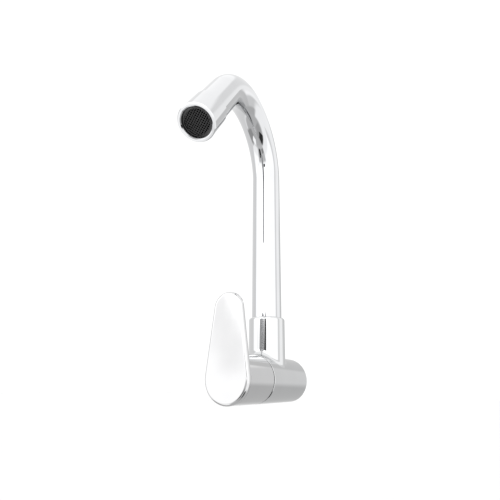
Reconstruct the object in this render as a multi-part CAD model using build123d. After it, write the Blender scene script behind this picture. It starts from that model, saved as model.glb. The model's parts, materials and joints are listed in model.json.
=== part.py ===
"""Wall-mounted swivel-spout sink tap with a quarter-turn lever, one STEP file for each piece.

Millimetres, +Z up, -Y forward. The origin is on the inlet axis, at the body's wall face.
"""

import os
from math import asin, cos, radians, sin

from build123d import *

# Valve train. A station is a distance forward of the wall face, along -Y.
body_radius = 18.0
body_length = 63.4
running_gap = 1.4
body_edge = 0.25
sleeve_edge = 0.1
back_edge = 0.6
spigot_radius = 15.6
spigot_end = 69.0
seat_station = 31.0
chamber_radius = 13.5
chamber_end = 55.0
waterway_radius = 6.5
pipe_thread_radius = 10.48
nipple_reach = 13.0
nipple_pocket = 13.0
nipple_inner_radius = 9.9
nipple_bore_radius = 5.5
nipple_key = 12.0
thread_gap = 0.05
slide_gap = 0.05

# Swivel socket on top of the body, and the spout's foot inside it.
socket_station = 41.5
socket_radius = 15.0
socket_top = 49.1
socket_floor = 18.5
socket_bore = 12.6
socket_blend = 5.0
socket_shoulder = 2.1
foot_top = 44.0
foot_bottom = 19.6
tube_bottom = 32.0
retaining_height = 29.0

# Spout: a plain tube, one bend, and a turned end that holds the aerator.
tube_radius = 12.5
tube_wall = 1.2
straight_top = 178.4
bend_radius = 51.15
bend_angle = 144.5
end_run = 62.4
spout_swing = 6.4
collar_radius = 13.3
collar_length = 26.0
collar_pocket = 7.5
aerator_bore = 10.75
aerator_shelf = 15.5
shelf_bore = 9.0

# Aerator insert, a concealed M21.5 type.
insert_bore = 9.3
grid_pitch = 1.52
grid_hole = 1.06
grid_turn = 41.2

# Lever: a drop-shaped plate in front of a turning sleeve.
lever_face = 103.9
lever_thickness = 3.9
lever_small_radius = 11.9
lever_height = 48.4
lever_front_edge = 2.2
lever_back_edge = 0.2
sleeve_wall = 1.5
lever_spigot_radius = 15.9
hub_radius = 9.0
hub_start = 82.5
clamp_station = 89.0
clamp_screw_radius = 2.5

# Headwork, the cartridge that opens and shuts the tap.
headwork_radius = 10.4
barrel_radius = 9.3
disc_radius = 8.2
disc_thickness = 3.0
spindle_radius = 6.0
stem_radius = 4.0
stem_end = 95.0
hexagon_width = 22.0
spline_teeth = 20

up = Align.CENTER, Align.CENTER, Align.MIN
forward = Plane(origin=(0, 0, 0), x_dir=(1, 0, 0), z_dir=(0, -1, 0)).location
swivel = Pos(0, -socket_station, 0)


def ring(outer, inner, start, end):
    """A turned ring about local Z, from start to end; inner 0 makes it solid."""
    piece = Pos(0, 0, start) * Cylinder(outer, end - start, align=up)
    if inner:
        piece -= Pos(0, 0, start) * Cylinder(inner, end - start, align=up)
    return piece


def turned(*profile):
    """A solid of revolution about local Z from its (radius, height) corners."""
    outline = Plane.XZ * make_face(Polyline(*profile, close=True))
    return revolve(outline, Axis.Z)


def sector(radius, middle, spread, start, end):
    """A pie slice about local Z, spread degrees wide and centred on middle."""
    reach = 2 * radius
    corners = [(0, 0)]
    for share in (-0.5, -0.25, 0, 0.25, 0.5):
        angle = radians(middle + share * spread)
        corners.append((reach * cos(angle), reach * sin(angle)))
    slice_area = make_face(Polyline(*corners, close=True)) & Circle(radius)
    return Pos(0, 0, start) * extrude(slice_area, end - start)


def hexagon(width, start, end):
    """A hexagonal prism about local Z, width across its flats."""
    area = RegularPolygon(width / 2, 6, major_radius=False)
    return Pos(0, 0, start) * extrude(area, end - start)


def spline_area(root, crest, tooth_width):
    """A toothed round section, for a splined shaft or its hole."""
    area = Circle(root)
    for tooth in range(spline_teeth):
        place = Rot(0, 0, 360 * tooth / spline_teeth) * Pos(root, 0)
        area += place * Rectangle(2 * (crest - root), tooth_width)
    return area


# Body and inlet


def tap_body():
    """The brass casting: body barrel, sleeve spigot, swivel socket and all waterways."""
    barrel = forward * ring(body_radius, 0, 0, body_length)
    socket = swivel * ring(socket_radius, 0, 0, socket_top)
    body = barrel + socket
    saddle = body.edges().filter_by(GeomType.BSPLINE)
    body = fillet(saddle, socket_blend)
    body = fillet(body.edges().filter_by(GeomType.CIRCLE).sort_by(Axis.Z)[-1], socket_shoulder)
    body = fillet(body.edges().filter_by(GeomType.CIRCLE).sort_by(Axis.Y)[-1], back_edge)
    body = chamfer(body.edges().filter_by(GeomType.CIRCLE).sort_by(Axis.Y)[0], body_edge)
    body += forward * ring(spigot_radius, 0, body_length, spigot_end)
    nipple_bore = nipple_inner_radius + thread_gap
    body -= forward * ring(nipple_bore, 0, 0, nipple_pocket + 1.8)
    lead_in = 1.0
    body -= forward * turned(
        (0, 0), (nipple_bore + lead_in, 0), (nipple_bore, lead_in), (0, lead_in)
    )
    body -= forward * ring(waterway_radius, 0, 0, seat_station)
    body -= forward * ring(chamber_radius, 0, seat_station, chamber_end)
    body -= forward * ring(headwork_radius + thread_gap, 0, chamber_end, spigot_end)
    body -= swivel * ring(socket_bore, 0, socket_floor, socket_top)
    body -= swivel * ring(7.0, 0, 0, socket_floor)
    body -= swivel * ring(13.6, 0, 36.0, 46.0)
    screw_hole = Pos(0, 0, retaining_height) * Rot(-90, 0, 0) * ring(2.05, 0, 0, 20)
    return body - swivel * screw_hole


def inlet_nipple():
    """Threaded nipple: its thinner end is in the body, its pipe thread in the wall fitting."""
    nipple = ring(nipple_inner_radius, nipple_bore_radius, 0, nipple_pocket)
    nipple += ring(pipe_thread_radius, nipple_bore_radius, -nipple_reach, 0)
    nipple -= hexagon(nipple_key, -nipple_reach, -nipple_reach + 6)
    ends = nipple.edges().filter_by(GeomType.CIRCLE)
    mouth = ends.filter_by(lambda edge: edge.radius > pipe_thread_radius - 0.1)
    return forward * chamfer(mouth.sort_by(Axis.Z)[0], 0.8)


def nipple_seal():
    """Flat seal at the bottom of the nipple's pocket."""
    return forward * ring(9.6, waterway_radius + 0.3, nipple_pocket + 0.05, nipple_pocket + 1.75)


# Headwork


def seat_seal():
    """Rubber seal between the fixed disc and the body's seat."""
    seal = ring(disc_radius, 5.6, seat_station, seat_station + 3)
    return forward * seal


def disc(start, radius, turn):
    """A ceramic disc with two opposite openings."""
    plate = ring(radius, 0, start, start + disc_thickness)
    for side in (0, 180):
        opening = sector(5.4, side + turn, 80, start, start + disc_thickness)
        plate -= opening - ring(1.6, 0, start, start + disc_thickness)
    return plate


def fixed_disc():
    return forward * disc(seat_station + 3, disc_radius, 0)


def moving_disc():
    """Its openings stand across the fixed disc's when the tap is shut; two dogs turn it."""
    start = seat_station + 3 + disc_thickness + slide_gap
    plate = disc(start, disc_radius - 0.1, 90)
    for side in (0, 180):
        notch = Rot(0, 0, side) * Pos(6.9, 0, start + disc_thickness)
        plate -= notch * Box(2.6, 2.6, 2.4)
    return forward * plate


def headwork_housing():
    """Brass cartridge: threaded, with a hexagon, side windows and a quarter-turn stop."""
    housing = ring(barrel_radius, 0, 32.0, 57.0)
    housing += ring(headwork_radius, 0, 57.0, 70.0)
    housing += hexagon(hexagon_width, 70.0, 77.0) & ring(12.3, 0, 70.0, 77.0)
    housing += ring(7.5, 0, 77.0, 80.0)
    housing -= ring(disc_radius + 0.1, 0, 32.0, 47.0)
    housing -= sector(disc_radius + 0.1, 225, 116, 47.0, 50.0)
    housing -= ring(spindle_radius + slide_gap, 0, 47.0, 66.5)
    housing -= ring(stem_radius + slide_gap, 0, 66.5, 80.0)
    for side in (0, 90, 180, 270):
        window = Rot(0, 0, side + 45) * Pos(barrel_radius, 0, 43.6)
        housing -= window * Box(6, 8, 5.4)
    return forward * housing


def headwork_washer():
    """Flat seal between the hexagon and the body's spigot."""
    return forward * ring(12.2, 10.6, 69.0, 70.0)


def spindle():
    """Spindle with disc dogs, stop lug, two seal grooves, clip groove and spline."""
    foot_start = seat_station + 3 + 2 * disc_thickness + 2 * slide_gap
    shaft = ring(disc_radius - 0.1, 0, foot_start, 46.9)
    for side in (90, 270):
        shaft -= Rot(0, 0, side) * Pos(6.2, 0, 43.0) * Box(7.4, 12.4, 20)
    for side in (0, 180):
        dog = Rot(0, 0, side) * Pos(6.7, 0, foot_start - 0.4)
        shaft += dog * Box(2.2, 2.4, 1.4)
    shaft += ring(spindle_radius, 0, 43.4, 66.4)
    shaft += sector(disc_radius - 0.1, 180, 24, 47.1, 49.9)
    for groove in (54.0, 58.5):
        shaft -= ring(spindle_radius, 4.6, groove - 0.95, groove + 0.95)
    shaft += ring(stem_radius, 0, 66.4, 83.0)
    shaft -= ring(stem_radius, 3.4, 81.1, 82.1)
    toothed = extrude(spline_area(3.6, stem_radius, 0.6), stem_end - 83.0)
    return forward * (shaft + Pos(0, 0, 83.0) * toothed)


def spindle_o_rings():
    """Two o-rings, in the spindle's grooves."""
    section = (spindle_radius + 0.03 - 4.6) / 2
    rings = [Pos(0, 0, groove) * Torus(4.6 + section, section) for groove in (54.0, 58.5)]
    return Compound(children=[forward * one for one in rings])


def spindle_washer():
    """Slip washer between the housing's nose and the clip."""
    return forward * ring(6.6, stem_radius + slide_gap, 80.0, 81.0)


def spindle_clip():
    """Open retaining clip on the spindle."""
    clip = ring(5.6, 3.45, 81.15, 82.05)
    return forward * (clip - sector(6, 90, 60, 81.0, 82.2))


# Lever


def lever_outline():
    """The drop shape: two circles and their common tangents."""
    lean = asin((body_radius - lever_small_radius) / lever_height)
    low = body_radius * cos(lean), body_radius * sin(lean)
    high = lever_small_radius * cos(lean), lever_height + lever_small_radius * sin(lean)
    flanks = Polyline(low, high, (-high[0], high[1]), (-low[0], low[1]), close=True)
    circles = Circle(body_radius) + Pos(0, lever_height) * Circle(lever_small_radius)
    return make_face(flanks) + circles


def lever():
    """Cast lever: face plate, spigot for the sleeve, hub, and a boss for the clamp screw."""
    back = lever_face - lever_thickness
    plate = Pos(0, 0, back) * extrude(lever_outline(), lever_thickness)
    plate = fillet(plate.faces().sort_by(Axis.Z)[-1].edges(), lever_front_edge)
    plate = fillet(plate.faces().sort_by(Axis.Z)[0].edges(), lever_back_edge)
    casting = plate + ring(lever_spigot_radius, 13.6, 95.5, back + 0.5)
    casting += ring(hub_radius, 0, hub_start, back + 0.5)
    boss = Pos(0, -5.0, clamp_station) * Rot(90, 0, 0) * ring(5.0, 0, 0, 11.2)
    casting += boss
    casting -= ring(6.25, 0, hub_start, stem_end + 0.2)
    clamp_hole = Pos(0, 0, clamp_station) * Rot(90, 0, 0)
    casting -= clamp_hole * ring(clamp_screw_radius + thread_gap, 0, 0, 17)
    return forward * casting


def sleeve_tube():
    """The sleeve without its hole, about local Z; its front closes against the lever's back."""
    start = body_length + running_gap
    front = lever_face - lever_thickness - slide_gap
    sleeve = ring(body_radius, body_radius - sleeve_wall, start, front)
    sleeve += ring(body_radius - 1.0, lever_spigot_radius + 0.02, 95.9, front)
    outer = sleeve.edges().filter_by(GeomType.CIRCLE).filter_by(
        lambda edge: edge.radius > body_radius - 0.1
    )
    return fillet(outer.sort_by(Axis.Z)[0], sleeve_edge)


def access_hole(radius, start, end):
    """A radial pin shape under the sleeve, where a key reaches the clamp screw."""
    return Pos(0, 0, clamp_station) * Rot(90, 0, 0) * ring(radius, 0, start, end)


def handle_sleeve():
    """Sleeve that turns with the lever and hides the headwork."""
    return forward * (sleeve_tube() - access_hole(3.0, 12, 20))


def screw_hole_plug():
    """Flush plug in the sleeve's access hole."""
    plug = access_hole(2.95, 16.55, 19) & ring(body_radius - 0.05, 0, 80, 98)
    return forward * plug


def lever_clamp_screw():
    """Socket set screw that clamps the lever to the spindle."""
    screw = ring(clamp_screw_radius, 0, 6.3, 14.3)
    screw -= hexagon(2.5, 11.3, 14.3)
    screw = chamfer(screw.edges().filter_by(GeomType.CIRCLE), 0.4)
    return forward * (Pos(0, 0, clamp_station) * Rot(90, 0, 0) * screw)


def spline_adapter():
    """Slotted bush between the spindle's spline and the lever's hub."""
    bush = ring(6.2, 0, 83.2, 94.8)
    hole = extrude(spline_area(3.7, stem_radius + 0.08, 0.8), 12)
    bush -= Pos(0, 0, 83.0) * hole
    return forward * (bush - Pos(0, 5, 88) * Box(0.8, 6, 14))


def sleeve_glide_ring():
    """Slip ring on the body's spigot, on which the sleeve turns."""
    return forward * ring(16.42, spigot_radius + thread_gap, body_length + slide_gap, 68.4)


# Swivel


def spout_bush():
    """Split bearing bush in the socket's groove."""
    bush = ring(13.55, tube_radius + 0.05, 36.05, 45.95)
    return swivel * (bush - Pos(0, 13, 41) * Box(1.2, 4, 12))


def spout_slip_washer():
    """Slip washer on the socket's floor, under the spout's foot."""
    return swivel * ring(12.3, 8.0, socket_floor, socket_floor + 1.0)


def spout_retaining_screw():
    """Dog-point set screw from behind, which holds the spout down by its groove."""
    screw = ring(1.5, 0, 11.4, 13.0) + ring(2.0, 0, 12.7, 14.85)
    screw -= hexagon(2.0, 13.4, 14.85)
    return swivel * (Pos(0, 0, retaining_height) * Rot(-90, 0, 0) * screw)


def spout_foot():
    """Turned foot fixed in the tube, with two seal grooves and the retaining groove."""
    foot = ring(12.4, 0, foot_bottom, tube_bottom)
    foot += ring(tube_radius - tube_wall - thread_gap, 0, tube_bottom, foot_top)
    foot -= ring(8.0, 0, foot_bottom, foot_top)
    for groove in (21.2, 24.4):
        foot -= ring(12.4, 11.0, groove - 0.95, groove + 0.95)
    foot -= ring(12.4, 10.9, retaining_height - 2.3, retaining_height + 2.3)
    return swivel * foot


def spout_o_rings():
    """Two o-rings, in the foot's grooves."""
    section = (socket_bore - 0.02 - 11.0) / 2
    rings = [Pos(0, 0, groove) * Torus(11.0 + section, section) for groove in (21.2, 24.4)]
    return Compound(children=[swivel * one for one in rings])


# Spout


def spout_plane():
    """Upright plane through the spout: local X points where the spout points."""
    turn = radians(spout_swing)
    ahead = Vector(sin(turn), -cos(turn), 0)
    return Plane(origin=(0, -socket_station, 0), x_dir=ahead, z_dir=ahead.cross(Vector(0, 0, 1)))


def spout_path(run):
    """Centre line from the tube's bottom, over the bend, and run along the end."""
    rise = Line((0, tube_bottom), (0, straight_top))
    bend = JernArc((0, straight_top), (0, 1), bend_radius, -bend_angle)
    end = Line(bend @ 1, bend @ 1 + (bend % 1) * run)
    return spout_plane() * Wire([rise.edge(), bend.edge(), end.edge()])


def spout_tube():
    """Bent tube, open at both ends."""
    path = spout_path(end_run - collar_length + collar_pocket)
    section = Plane(origin=path @ 0, z_dir=path % 0) * (
        Circle(tube_radius) - Circle(tube_radius - tube_wall)
    )
    return sweep(section, path)


def outlet():
    """Place of the outlet: origin at the end of the spout, local Z along the jet."""
    path = spout_path(end_run)
    across = spout_plane().z_dir
    return Plane(origin=path @ 1, x_dir=across, z_dir=path % 1).location


def spout_collar():
    """Turned end: a pocket for the tube, a shelf, and the bore for the aerator."""
    collar = turned(
        (tube_radius + 0.02, -collar_length),
        (collar_radius - 0.3, -collar_length),
        (collar_radius, -collar_length + 0.3),
        (collar_radius, -0.7),
        (collar_radius - 0.6, 0),
        (aerator_bore + 0.7, 0),
        (aerator_bore, -0.5),
        (aerator_bore, -aerator_shelf),
        (shelf_bore, -aerator_shelf),
        (shelf_bore, -collar_length + collar_pocket),
        (tube_radius + 0.02, -collar_length + collar_pocket),
    )
    return outlet() * collar


# Aerator. Heights are negative into the spout.


def aerator_housing():
    """Threaded black housing: a skirt round a recessed face with a raised bead."""
    housing = turned(
        (insert_bore, -13.4),
        (aerator_bore - thread_gap, -13.4),
        (aerator_bore - thread_gap, -0.8),
        (aerator_bore - 0.35, -0.5),
        (aerator_bore - 0.65, -0.6),
        (aerator_bore - 0.8, -1.9),
        (insert_bore + 0.35, -1.9),
        (insert_bore + 0.25, -1.5),
        (insert_bore, -1.5),
    )
    return outlet() * housing


def mesh_plate(radius, border, pitch, hole, start, end, turn):
    """A round plate with a square grid of square holes inside a plain border."""
    count = int(radius / pitch)
    area = Circle(radius)
    holes = []
    for column in range(-count, count + 1):
        for row in range(-count, count + 1):
            x, y = column * pitch, row * pitch
            if (x * x + y * y) ** 0.5 + hole / 2 < radius - border:
                holes.append(Pos(x, y) * Rectangle(hole, hole))
    area -= holes
    return outlet() * (Rot(0, 0, turn) * Pos(0, 0, start) * extrude(area, end - start))


def aerator_grid():
    """Outlet grid, in the mouth of the housing."""
    return mesh_plate(insert_bore - 0.05, 0.3, grid_pitch, grid_hole, -4.9, -2.4, grid_turn)


def aerator_mesh():
    """Second, coarser mesh layer that mixes the air in."""
    return mesh_plate(insert_bore - 0.05, 0.8, 2.4, 1.7, -6.3, -5.1, grid_turn + 45)


def aerator_diffuser():
    """Cup with a ring of fine holes that breaks up the jet."""
    cup = ring(insert_bore - 0.05, 0, -10.1, -6.7) - ring(7.9, 0, -8.7, -6.7)
    for number in range(12):
        place = Rot(0, 0, 30 * number) * Pos(5.8, 0, 0)
        cup -= place * ring(0.6, 0, -10.1, -8.7)
    return outlet() * cup


def aerator_screen():
    """Domed inlet screen with radial slots."""
    rim = ring(insert_bore - 0.05, 7.4, -11.9, -10.4)
    dome = turned((0, -15.7), (5.2, -14.7), (8.4, -11.9), (7.4, -11.9), (4.7, -13.9), (0, -14.9))
    slots = Part()
    for number in range(16):
        slots += Rot(0, 0, 22.5 * number) * Pos(4.7, 0, -14.0) * Box(4.2, 0.7, 6)
    return outlet() * (rim + dome - slots)


def aerator_washer():
    """Rubber washer between the housing and the collar's shelf."""
    return outlet() * ring(aerator_bore - 0.15, insert_bore - 0.1, -aerator_shelf, -13.5)


pieces = [
    tap_body, inlet_nipple, nipple_seal,
    seat_seal, fixed_disc, moving_disc, headwork_housing, headwork_washer,
    spindle, spindle_o_rings, spindle_washer, spindle_clip,
    lever, handle_sleeve, screw_hole_plug, lever_clamp_screw, spline_adapter, sleeve_glide_ring,
    spout_bush, spout_slip_washer, spout_retaining_screw, spout_foot, spout_o_rings,
    spout_tube, spout_collar,
    aerator_housing, aerator_grid, aerator_mesh, aerator_diffuser, aerator_screen, aerator_washer,
]

os.makedirs("parts", exist_ok=True)
for make in pieces:
    export_step(make(), f"parts/{make.__name__}.step")
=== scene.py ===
"""Looks for the wall-mounted swivel-spout sink tap: chrome, brass, plastics, light and camera.

Metres, in the CAD model's frame: origin on the inlet axis at the wall, -Y forward, +Z up.
"""

import json
from math import cos, floor, pi, radians, sin

import bmesh
import bpy
from mathutils import Matrix, Vector


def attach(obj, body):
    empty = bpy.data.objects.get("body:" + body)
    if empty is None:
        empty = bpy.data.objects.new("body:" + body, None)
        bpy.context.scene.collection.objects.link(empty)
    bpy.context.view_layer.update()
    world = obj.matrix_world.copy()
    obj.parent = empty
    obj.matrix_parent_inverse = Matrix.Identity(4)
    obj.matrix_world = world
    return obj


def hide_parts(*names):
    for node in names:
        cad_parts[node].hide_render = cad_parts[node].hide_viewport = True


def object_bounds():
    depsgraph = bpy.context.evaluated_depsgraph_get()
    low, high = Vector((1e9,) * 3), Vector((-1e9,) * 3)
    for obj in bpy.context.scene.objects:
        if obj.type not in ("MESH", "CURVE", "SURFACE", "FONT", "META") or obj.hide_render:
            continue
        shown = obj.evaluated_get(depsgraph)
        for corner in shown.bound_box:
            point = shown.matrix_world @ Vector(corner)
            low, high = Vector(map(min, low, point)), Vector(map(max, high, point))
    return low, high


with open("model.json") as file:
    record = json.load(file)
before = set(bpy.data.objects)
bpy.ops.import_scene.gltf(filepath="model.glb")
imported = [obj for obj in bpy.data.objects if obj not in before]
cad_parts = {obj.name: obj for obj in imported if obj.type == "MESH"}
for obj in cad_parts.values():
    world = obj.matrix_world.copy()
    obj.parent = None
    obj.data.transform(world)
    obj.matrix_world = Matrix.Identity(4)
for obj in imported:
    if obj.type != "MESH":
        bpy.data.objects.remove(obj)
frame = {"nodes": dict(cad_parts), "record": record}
cad_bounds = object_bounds()
middle_of_tap = sum(cad_bounds, Vector()) / 2
MM = 0.001

# Where the spout ends, in millimetres and degrees.
SWIVEL_STATION = 41.5
SPOUT_SWING = 6.4
BEND_ANGLE = 144.5
OUTLET_REACH = 129.03
OUTLET_HEIGHT = 157.3

# Inlet nipple, in millimetres: its G1/2 thread, bore and hexagon socket.
THREAD_PITCH = 1.814
THREAD_CREST = 10.45
THREAD_ROOT = 9.35
THREAD_END = 13.0
THREAD_ROWS = 104
NIPPLE_SEGMENTS = 96
NIPPLE_INNER_RADIUS = 9.9
NIPPLE_INNER_END = -13.0
NIPPLE_BORE = 5.5
HEXAGON_HALF_WIDTH = 6.0
HEXAGON_FLOOR = 7.0

# Aerator grid, in millimetres and degrees; heights are negative into the spout.
GRID_PITCH = 1.52
GRID_TURN = 41.2
GRID_RADIUS = 9.2
GRID_FACE = -2.4
GRID_BACK = -4.9
GRID_BARS = 12
BAR_HALF = 0.23
BAR_NOSE = 0.2
PIP_RADIUS = 0.36
PIP_FLATNESS = 0.7
PIP_SUNK = 0.05
RIM_WIDTH = 0.35
RIM_STEPS = 96


# Camera


def make_camera():
    """The camera stands low, to the right of the front, and looks up at the spout."""
    turn, tilt, roll = radians(29.39), radians(18.39), radians(0.53)
    ahead = Vector((-sin(turn) * cos(tilt), cos(turn) * cos(tilt), sin(tilt)))
    level = Vector((cos(turn), sin(turn), 0))
    above = level.cross(ahead)
    right = level * cos(roll) + above * sin(roll)
    above = above * cos(roll) - level * sin(roll)
    axes = Matrix((right, above, -ahead)).transposed()
    camera = bpy.data.objects.new("camera", bpy.data.cameras.new("camera"))
    camera.matrix_world = Matrix.Translation((0.1551, -0.3467, -0.0036)) @ axes.to_4x4()
    camera.data.lens = 29.06
    camera.data.clip_start = 0.01
    bpy.context.scene.collection.objects.link(camera)
    bpy.context.scene.camera = camera


# Materials


def new_material(name):
    """A material with its Principled shader."""
    material = bpy.data.materials.new(name)
    material.use_nodes = True
    return material, material.node_tree.nodes["Principled BSDF"]


def link(material, source, target):
    material.node_tree.links.new(source, target)


def place_in_metres(material, stretch=(1, 1, 1)):
    """Object coordinates, so that a pattern keeps its real size."""
    nodes = material.node_tree.nodes
    place = nodes.new("ShaderNodeTexCoord")
    mapping = nodes.new("ShaderNodeMapping")
    mapping.inputs["Scale"].default_value = stretch
    link(material, place.outputs["Object"], mapping.inputs["Vector"])
    return mapping.outputs["Vector"]


def noise(material, scale, detail=3.0, stretch=(1, 1, 1)):
    node = material.node_tree.nodes.new("ShaderNodeTexNoise")
    node.inputs["Scale"].default_value = scale
    node.inputs["Detail"].default_value = detail
    link(material, place_in_metres(material, stretch), node.inputs["Vector"])
    return node.outputs["Fac"]


def turning_rings(material, scale, direction="Y"):
    """Fine lathe lines across the given axis."""
    node = material.node_tree.nodes.new("ShaderNodeTexWave")
    node.wave_type = "BANDS"
    node.bands_direction = direction
    node.inputs["Scale"].default_value = scale
    node.inputs["Distortion"].default_value = 1.5
    link(material, place_in_metres(material), node.inputs["Vector"])
    return node.outputs["Fac"]


def ramp(material, source, low, high, at=(0.35, 0.65)):
    """Spreads a pattern between two grey levels or colours."""
    node = material.node_tree.nodes.new("ShaderNodeValToRGB")
    for stop, place, value in zip(node.color_ramp.elements, at, (low, high)):
        stop.position = place
        stop.color = (*value, 1) if isinstance(value, tuple) else (value, value, value, 1)
    link(material, source, node.inputs["Fac"])
    return node.outputs["Color"]


def add_bump(material, shader, source, depth):
    node = material.node_tree.nodes.new("ShaderNodeBump")
    node.inputs["Distance"].default_value = depth
    link(material, source, node.inputs["Height"])
    link(material, node.outputs["Normal"], shader.inputs["Normal"])


def surface(name, dark, light, roughness, pattern_scale, metallic=0.0, grain=None, depth=0.0):
    """A material whose colour and roughness vary in fine patches over a grain."""
    material, shader = new_material(name)
    shader.inputs["Metallic"].default_value = metallic
    patches = noise(material, pattern_scale, detail=5)
    link(material, ramp(material, patches, dark, light), shader.inputs["Base Color"])
    link(material, ramp(material, patches, *roughness), shader.inputs["Roughness"])
    if grain:
        add_bump(material, shader, grain(material), depth)
    return material, shader


def make_chrome(name, tint, roughness):
    """Bright plate: a mirror with the faintest haze, and polishing waves far below its gloss."""
    hazed = tuple(0.975 * c for c in tint)
    waves = lambda material: noise(material, 130, detail=1)
    return surface(name, hazed, tint, roughness, 60, 1.0, waves, 0.4e-6)[0]


def make_black_plastic(grain):
    """Glossy moulded acetal: almost black, so that it is seen by its highlights."""
    material, shader = surface(
        "black_plastic", (0.006, 0.006, 0.007), (0.012, 0.012, 0.013), (0.16, 0.26), 700,
        0.0, grain, 3e-6,
    )
    shader.inputs["Specular IOR Level"].default_value = 1.0
    return material


def make_materials():
    """One material for each of the record's slots."""
    fine = lambda scale: lambda material: noise(material, scale, detail=4)
    lathe = lambda scale, way: lambda material: turning_rings(material, scale, way)
    return {
        "body_chrome": make_chrome("body_chrome", (0.63, 0.635, 0.64), (0.02, 0.045)),
        "lever_chrome": make_chrome("lever_chrome", (0.635, 0.635, 0.64), (0.02, 0.05)),
        "spout_chrome": make_chrome("spout_chrome", (0.63, 0.635, 0.645), (0.015, 0.035)),
        "brass": surface(
            "brass", (0.62, 0.43, 0.18), (0.75, 0.55, 0.26), (0.22, 0.38), 180, 1.0,
            lathe(900, "Y"), 6e-6,
        )[0],
        "steel": surface(
            "steel", (0.42, 0.42, 0.43), (0.56, 0.56, 0.57), (0.22, 0.36), 400, 1.0,
            fine(2500), 4e-6,
        )[0],
        "rubber": surface(
            "rubber", (0.012, 0.012, 0.012), (0.024, 0.024, 0.024), (0.55, 0.72), 500, 0.0,
            fine(3500), 1.2e-5,
        )[0],
        "black_plastic": make_black_plastic(fine(5000)),
        "grey_plastic": surface(
            "grey_plastic", (0.42, 0.43, 0.44), (0.5, 0.51, 0.52), (0.35, 0.5), 500, 0.0,
            fine(4000), 8e-6,
        )[0],
        "white_plastic": surface(
            "white_plastic", (0.72, 0.72, 0.68), (0.8, 0.8, 0.77), (0.32, 0.45), 400, 0.0,
            fine(4000), 8e-6,
        )[0],
        "ceramic": surface(
            "ceramic", (0.78, 0.76, 0.7), (0.86, 0.85, 0.8), (0.08, 0.2), 900, 0.0,
            fine(6000), 2e-6,
        )[0],
    }


def paint_cad_nodes(materials):
    """Every CAD node takes the material of its slot."""
    for part in frame["record"]["subparts"]:
        mesh = frame["nodes"][part["node"]].data
        for index in range(len(mesh.materials)):
            mesh.materials[index] = materials[part["material_slot"]]


# Pieces


def turned_skin(name, rings, segments, radius_at):
    """A closed skin round the Y axis: each ring is a key and a height, in millimetres."""
    mesh = bpy.data.meshes.new(name)
    points, faces = [], []
    for key, height in rings:
        for index in range(segments):
            angle = 2 * pi * index / segments
            radius = radius_at(key, angle, height)
            points.append((radius * cos(angle) * MM, height * MM, radius * sin(angle) * MM))
    count = len(rings)
    for row in range(count):
        low, high = row * segments, (row + 1) % count * segments
        for index in range(segments):
            after = (index + 1) % segments
            faces.append((low + index, low + after, high + after, high + index))
    mesh.from_pydata(points, [], faces)
    return finish_piece(name, mesh)


def finish_piece(name, mesh, sharp=40):
    """Outward faces, smooth except over sharp corners."""
    work = bmesh.new()
    work.from_mesh(mesh)
    bmesh.ops.recalc_face_normals(work, faces=work.faces)
    work.to_mesh(mesh)
    work.free()
    mesh.shade_smooth()
    mesh.set_sharp_from_angle(angle=radians(sharp))
    piece = bpy.data.objects.new(name, mesh)
    bpy.context.scene.collection.objects.link(piece)
    return piece


def nipple_radius(key, angle, height):
    """Radius of the nipple's skin: pipe thread, hexagon or a plain number."""
    if key == "hexagon":
        return HEXAGON_HALF_WIDTH / cos(angle % (pi / 3) - pi / 6)
    if key != "thread":
        return key
    turn = height / THREAD_PITCH - angle / (2 * pi)
    flank = abs(2 * (turn - floor(turn)) - 1)
    depth = min(1.0, max(0.0, 1.35 * flank - 0.17))
    chamfer_limit = THREAD_ROOT + 0.35 + max(0.0, THREAD_END - height)
    return min(THREAD_ROOT + (THREAD_CREST - THREAD_ROOT) * depth, chamfer_limit)


def make_nipple(materials):
    """Inlet nipple with a real G1/2 thread and a hexagon socket in its end."""
    rings = [
        (NIPPLE_BORE, NIPPLE_INNER_END),
        (NIPPLE_INNER_RADIUS, NIPPLE_INNER_END),
        (NIPPLE_INNER_RADIUS, 0.0),
    ]
    rings += [("thread", THREAD_END * row / THREAD_ROWS) for row in range(THREAD_ROWS + 1)]
    rings += [("hexagon", THREAD_END), ("hexagon", HEXAGON_FLOOR), (NIPPLE_BORE, HEXAGON_FLOOR)]
    piece = turned_skin("threaded_nipple", rings, NIPPLE_SEGMENTS, nipple_radius)
    piece.data.materials.append(materials["brass"])
    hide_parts("inlet_nipple")
    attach(piece, "tap")


def outlet_matrix():
    """Where the spout ends: local Z runs along the jet."""
    swing, bend = radians(SPOUT_SWING), radians(BEND_ANGLE)
    ahead = Vector((sin(swing), -cos(swing), 0))
    jet = ahead * sin(bend) + Vector((0, 0, cos(bend)))
    across = ahead.cross(Vector((0, 0, 1)))
    place = Vector((0, -SWIVEL_STATION, OUTLET_HEIGHT)) + OUTLET_REACH * ahead
    axes = Matrix((across, jet.cross(across), jet)).transposed()
    return Matrix.Translation(place * MM) @ axes.to_4x4()


def add_loft(work, sections):
    """Closed sections joined in order, with capped ends."""
    loops = [[work.verts.new(point) for point in section] for section in sections]
    for low, high in zip(loops, loops[1:]):
        for index in range(len(low)):
            after = (index + 1) % len(low)
            work.faces.new((low[index], low[after], high[after], high[index]))
    work.faces.new(list(reversed(loops[0])))
    work.faces.new(loops[-1])


def add_bar(work, offset, turn):
    """A round-nosed bar across the grid, cut off at its rim."""
    reach = (GRID_RADIUS ** 2 - (abs(offset) + BAR_HALF) ** 2) ** 0.5
    arc = [pi * step / 6 for step in range(7)]
    outline = [(BAR_HALF * cos(a), GRID_FACE - BAR_NOSE + BAR_NOSE * sin(a)) for a in arc]
    outline += [(-BAR_HALF, GRID_BACK), (BAR_HALF, GRID_BACK)]
    sections = [
        [turn @ Vector((offset + u, end, z)) * MM for u, z in outline] for end in (-reach, reach)
    ]
    add_loft(work, sections)


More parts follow.
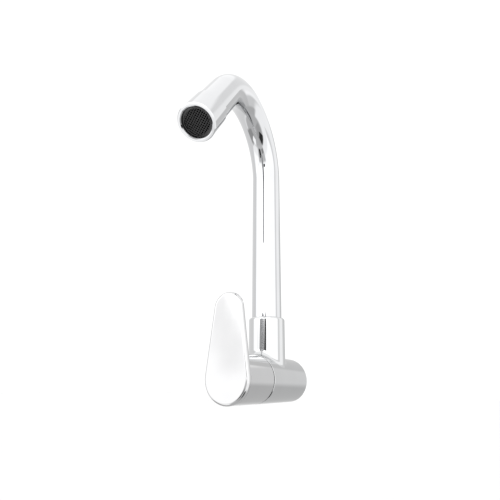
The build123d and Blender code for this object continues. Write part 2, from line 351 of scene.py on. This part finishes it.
def make_grid(materials):
    """Aerator outlet grid: rounded bars both ways with a raised pip at each crossing."""
    work = bmesh.new()
    half = GRID_BARS // 2
    offsets = [(step + 0.5) * GRID_PITCH for step in range(-half, half)]
    for quarter in (0, 90):
        turn = Matrix.Rotation(radians(GRID_TURN + quarter), 3, "Z")
        for offset in offsets:
            add_bar(work, offset, turn)
    turn = Matrix.Rotation(radians(GRID_TURN), 3, "Z")
    for x in offsets:
        for y in offsets:
            if x * x + y * y > (GRID_RADIUS - 0.5) ** 2:
                continue
            pip = Matrix.Translation(turn @ Vector((x, y, GRID_FACE - PIP_SUNK)) * MM)
            pip = pip @ Matrix.Diagonal((1, 1, PIP_FLATNESS, 1))
            bmesh.ops.create_uvsphere(
                work, u_segments=12, v_segments=8, radius=PIP_RADIUS * MM, matrix=pip
            )
    rim = [(GRID_RADIUS - RIM_WIDTH, GRID_BACK), (GRID_RADIUS - RIM_WIDTH, GRID_FACE),
           (GRID_RADIUS, GRID_FACE), (GRID_RADIUS, GRID_BACK)]
    loops = []
    for step in range(RIM_STEPS):
        angle = 2 * pi * step / RIM_STEPS
        loops.append([work.verts.new(Vector((r * cos(angle), r * sin(angle), z)) * MM)
                      for r, z in rim])
    for step in range(RIM_STEPS):
        here, there = loops[step], loops[(step + 1) % RIM_STEPS]
        for index in range(4):
            after = (index + 1) % 4
            work.faces.new((here[index], here[after], there[after], there[index]))
    mesh = bpy.data.meshes.new("aerator_face")
    work.transform(outlet_matrix())
    work.to_mesh(mesh)
    work.free()
    piece = finish_piece("aerator_face", mesh)
    mesh.materials.append(materials["black_plastic"])
    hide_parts("aerator_grid")
    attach(piece, "spout")


# Light: a white studio, with a tent that only the glossy surfaces see.


def smooth_share(value, low, high, edge):
    """1 between low and high, falling smoothly to 0 over the edge outside them."""
    outside = max(low - value, value - high, 0)
    share = max(0.0, 1 - outside / edge)
    return share * share * (3 - 2 * share)


# Each patch: azimuth from and to, elevation from and to, soft edge (degrees), and its level.
# Azimuth 0 is straight in front of the tap and 90 to its right. Later patches lie over earlier ones.
TENT_PATCHES = {
    "white front": (-58, 100, -12, 34, 9, 1.6),
    "front soft box": (-50, 50, 12, 34, 8, 2.4),
    "grey left": (-160, -70, -32, 34, 8, 0.96),
    "upper back": (140, 250, 36, 46, 6, 1.2),
    "dim top of the back": (140, 250, 49, 62, 6, 1.03),
    "grey back wall": (151, 200, -36, 18, 10, 0.88),
    "middle of the back wall": (168, 204, -36, 36, 5, 0.74),
    "foot of the back wall": (150, 195, -42, -18, 11, 0.62),
    "side gap": (104, 115, -10, 40, 3, 1.04),
    "grey floor": (-180, 180, -90, -46, 12, 0.66),
    "floor's dark left": (-96, -62, -60, -34, 9, 0.42),
    "floor's dark right": (30, 120, -72, -54, 12, 0.5),
    "dark table edge": (40, 82, -62, -43, 4, 0.04),
    "bright floor, front left": (-62, -34, -57, -44, 4, 1.45),
    "front below the eye": (-18, 32, -42, -8, 9, 0.74),
    "lever sheen, top": (-34.6, -33.8, 9, 12, 2.8, 1.42),
    "lever sheen, upper": (-33.8, -33.0, 6.5, 9, 2.8, 1.42),
    "lever sheen, lower": (-32.9, -32.1, 4, 6.5, 2.8, 1.4),
    "lever sheen, foot": (-31.9, -31.1, 1, 3.5, 2.8, 1.38),
    "dark stand": (-9, 3, -36, -18, 5, 0.03),
    "dark lens": (17, 31, -35, -27, 4, 0.36),
    "dark post": (13, 23, 1, 7.7, 1, 0.02),
}


def tent_level(azimuth, elevation):
    """How bright the tent is in a direction: white, with each patch laid over the last."""
    level = 1.34
    for start, end, low, high, edge, patch in TENT_PATCHES.values():
        middle, half = (start + end) / 2, (end - start) / 2
        away = (azimuth - middle + 180) % 360 - 180
        share = smooth_share(away, -half, half, edge) * smooth_share(elevation, low, high, edge)
        level += (patch - level) * share
    return level


def tent_material():
    material = bpy.data.materials.new("tent")
    material.use_nodes = True
    nodes = material.node_tree.nodes
    nodes.clear()
    level = nodes.new("ShaderNodeAttribute")
    level.attribute_name = "level"
    glow = nodes.new("ShaderNodeEmission")
    out = nodes.new("ShaderNodeOutputMaterial")
    link(material, level.outputs["Fac"], glow.inputs["Strength"])
    link(material, glow.outputs["Emission"], out.inputs["Surface"])
    material.cycles.emission_sampling = "NONE"
    return material


def make_tent(radius=3.0, columns=360, rows=180):
    """A sphere of panels round the tap, seen only in reflections."""
    mesh = bpy.data.meshes.new("tent")
    points, levels, faces = [], [], []
    for row in range(rows + 1):
        elevation = -90 + 180 * row / rows
        for column in range(columns):
            azimuth = 360 * column / columns
            across = radius * cos(radians(elevation))
            points.append((
                across * sin(radians(azimuth)),
                -across * cos(radians(azimuth)),
                radius * sin(radians(elevation)),
            ))
            levels.append(tent_level(azimuth, elevation))
    for row in range(rows):
        for column in range(columns):
            after = (column + 1) % columns
            low, high = row * columns, (row + 1) * columns
            faces.append((low + column, low + after, high + after, high + column))
    mesh.from_pydata(points, [], faces)
    mesh.attributes.new("level", "FLOAT", "POINT").data.foreach_set("value", levels)
    tent = bpy.data.objects.new("tent", mesh)
    mesh.materials.append(tent_material())
    tent.location = middle_of_tap
    bpy.context.scene.collection.objects.link(tent)
    tent.visible_camera = False
    tent.visible_diffuse = False
    tent.visible_transmission = False
    tent.visible_shadow = False


def make_world():
    world = bpy.data.worlds.new("studio")
    world.use_nodes = True
    bpy.context.scene.world = world
    sky = world.node_tree.nodes["Background"]
    sky.inputs["Color"].default_value = (1, 1, 1, 1)
    sky.inputs["Strength"].default_value = 1.08


def make_floor():
    """A plain pale floor well below the tap, which hangs on a wall."""
    mesh = bpy.data.meshes.new("floor")
    size = 30
    depth = -0.7
    mesh.from_pydata([(-size, -size, depth), (size, -size, depth), (size, size, depth),
                      (-size, size, depth)], [], [(0, 1, 2, 3)])
    floor = bpy.data.objects.new("floor", mesh)
    material, shader = surface("floor", (0.93, 0.93, 0.93), (0.936, 0.936, 0.936), (0.7, 0.8), 2)
    mesh.materials.append(material)
    bpy.context.scene.collection.objects.link(floor)
    floor.visible_glossy = False


def make_softbox(name, place, size, power):
    """A large area light that faces the tap."""
    data = bpy.data.lights.new(name, "AREA")
    data.shape = "RECTANGLE"
    data.size = data.size_y = size
    data.energy = power
    lamp = bpy.data.objects.new(name, data)
    lamp.location = place
    aim = middle_of_tap - Vector(place)
    lamp.rotation_mode = "QUATERNION"
    lamp.rotation_quaternion = aim.to_track_quat("-Z", "Y")
    lamp.visible_glossy = False
    bpy.context.scene.collection.objects.link(lamp)


make_camera()
materials = make_materials()
paint_cad_nodes(materials)
make_nipple(materials)
make_grid(materials)
make_world()
make_tent()
make_floor()
make_softbox("key", (-0.9, -1.2, 1.3), 1.0, 12)
bpy.context.scene.view_settings.view_transform = "Standard"
